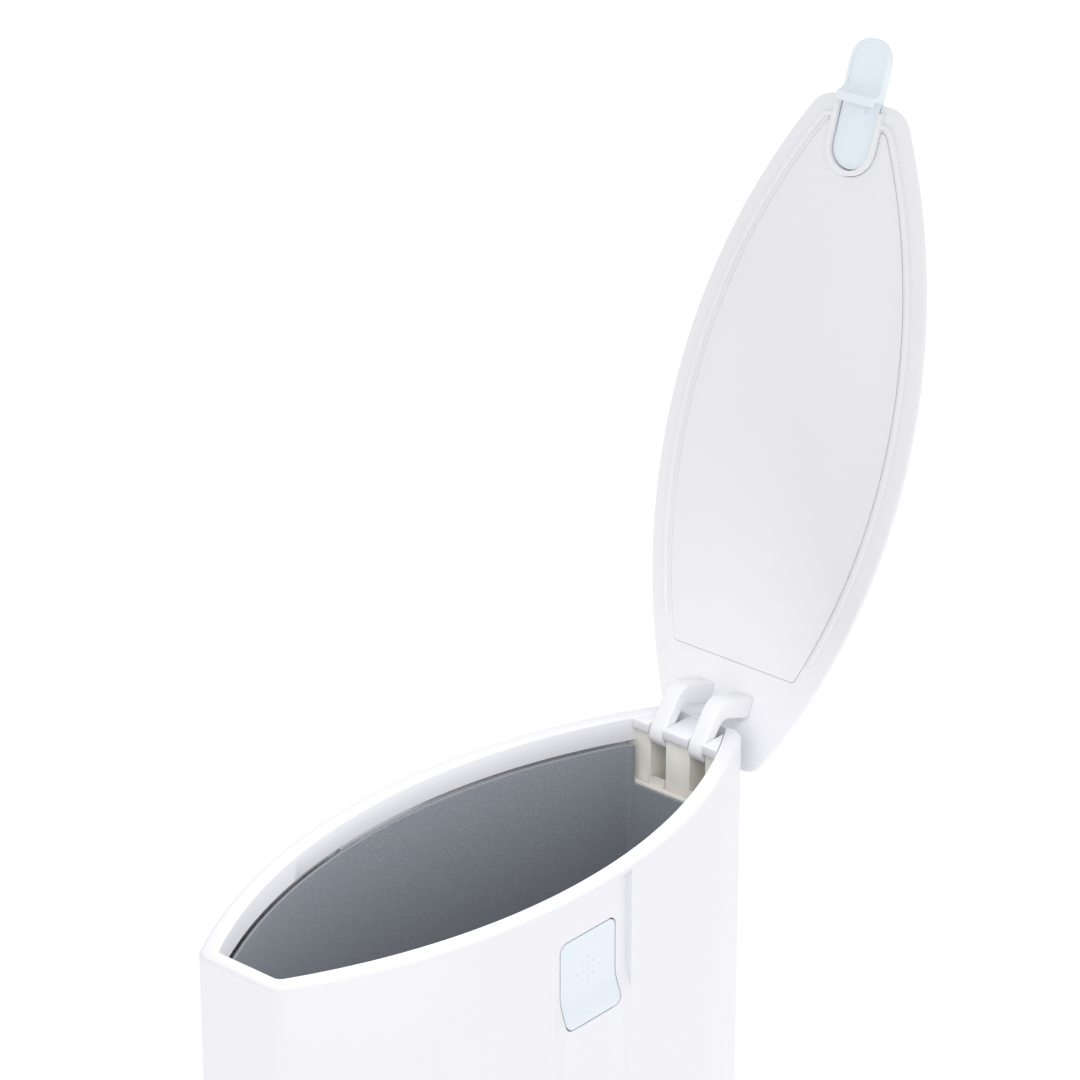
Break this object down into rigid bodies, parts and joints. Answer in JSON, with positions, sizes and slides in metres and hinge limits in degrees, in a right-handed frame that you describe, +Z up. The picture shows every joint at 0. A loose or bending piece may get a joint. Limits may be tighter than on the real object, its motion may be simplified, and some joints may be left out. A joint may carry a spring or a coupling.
{
  "type": "pedal bin",
  "caption": "Slim upright pedal bin with bulging sides, a lift-out inner bucket, a full-length hinged lid with a latch tab, and a push button in each side.",
  "frame": {"origin": "middle of the base's underside, on the floor", "axes": "+Z up, -Y is the front with the pedal, +Y is the hinge end, +X is the bin's left side seen from the front"},
  "size_m": [0.175, 0.5932, 0.907],
  "materials": {
    "body_plastic": "moulded, soft gloss",
    "lid_plastic": "moulded, soft gloss",
    "base_plastic": "moulded, matte",
    "housing_plastic": "moulded, matte",
    "bucket_plastic": "moulded, fine speckle",
    "button_plastic": "moulded, soft gloss",
    "tread_rubber": "ribbed",
    "foot_rubber": "matte",
    "lever_steel": "zinc plated",
    "pin_steel": "ground",
    "spring_steel": "drawn wire",
    "screw_steel": "zinc plated"
  },
  "bodies": {
    "casing": {"outer_body": "body_plastic", "base_plate": "base_plastic", "foot_pads": "foot_rubber", "base_screws": "screw_steel", "hinge_housing": "housing_plastic", "housing_screws": "screw_steel", "rod_guide_upper": "housing_plastic", "rod_guide_lower": "housing_plastic", "guide_screws": "screw_steel", "pedal_bracket": "lever_steel", "bracket_screws": "screw_steel"},
    "lid": {"lid_shell": "lid_plastic", "lid_inner_panel": "lid_plastic", "hinge_arm_left": "lid_plastic", "hinge_arm_right": "lid_plastic", "arm_screws": "screw_steel", "hinge_shaft": "pin_steel", "crank": "lever_steel", "crank_pin": "pin_steel"},
    "latch": {"latch_tab": "button_plastic", "latch_pivot_pin": "pin_steel", "latch_spring": "spring_steel"},
    "rod": {"push_rod": "lever_steel", "rod_foot_pin": "pin_steel"},
    "pedal": {"pedal_lever": "lever_steel", "pedal_tread": "tread_rubber", "pedal_pivot_pin": "pin_steel"},
    "bucket": {"inner_bucket": "bucket_plastic"},
    "button_left": {"side_button_left": "button_plastic", "button_pin_left": "pin_steel", "button_spring_left": "spring_steel"},
    "button_right": {"side_button_right": "button_plastic", "button_pin_right": "pin_steel", "button_spring_right": "spring_steel"}
  },
  "joints": [
    {"name": "lid_hinge", "type": "hinge", "parent": "casing", "child": "lid", "pos_m": [0, 0.191, 0.5045], "axis": [-1, 0, 0], "range_deg": [-109, 0]},
    {"name": "latch_pivot", "type": "hinge", "parent": "lid", "child": "latch", "pos_m": [0, 0.33692, 0.86778], "axis": [-1, 0, 0], "range_deg": [0, 8], "stiffness_Nm_per_rad": 0.3},
    {"name": "rod_slide", "type": "slide", "parent": "casing", "child": "rod", "axis": [0, 0, 1], "range_m": [-0.0155, 0]},
    {"name": "pedal_pivot", "type": "hinge", "parent": "casing", "child": "pedal", "pos_m": [0, 0.02, 0.038], "axis": [1, 0, 0], "range_deg": [-5.43, 0]},
    {"name": "bucket_lift", "type": "slide", "parent": "casing", "child": "bucket", "axis": [0, 0, 1], "range_m": [0, 0.44]},
    {"name": "button_left_rock", "type": "hinge", "parent": "casing", "child": "button_left", "pos_m": [-0.0754, 0, 0.443], "axis": [0, 1, 0], "range_deg": [0, 3], "stiffness_Nm_per_rad": 1},
    {"name": "button_right_rock", "type": "hinge", "parent": "casing", "child": "button_right", "pos_m": [0.0754, 0, 0.443], "axis": [0, -1, 0], "range_deg": [0, 3], "stiffness_Nm_per_rad": 1}
  ],
  "couplings": [
    {"joint": "rod_slide", "follows": "lid_hinge", "m_per_rad": 0.0080453},
    {"joint": "pedal_pivot", "follows": "lid_hinge", "ratio": 0.049613}
  ]
}
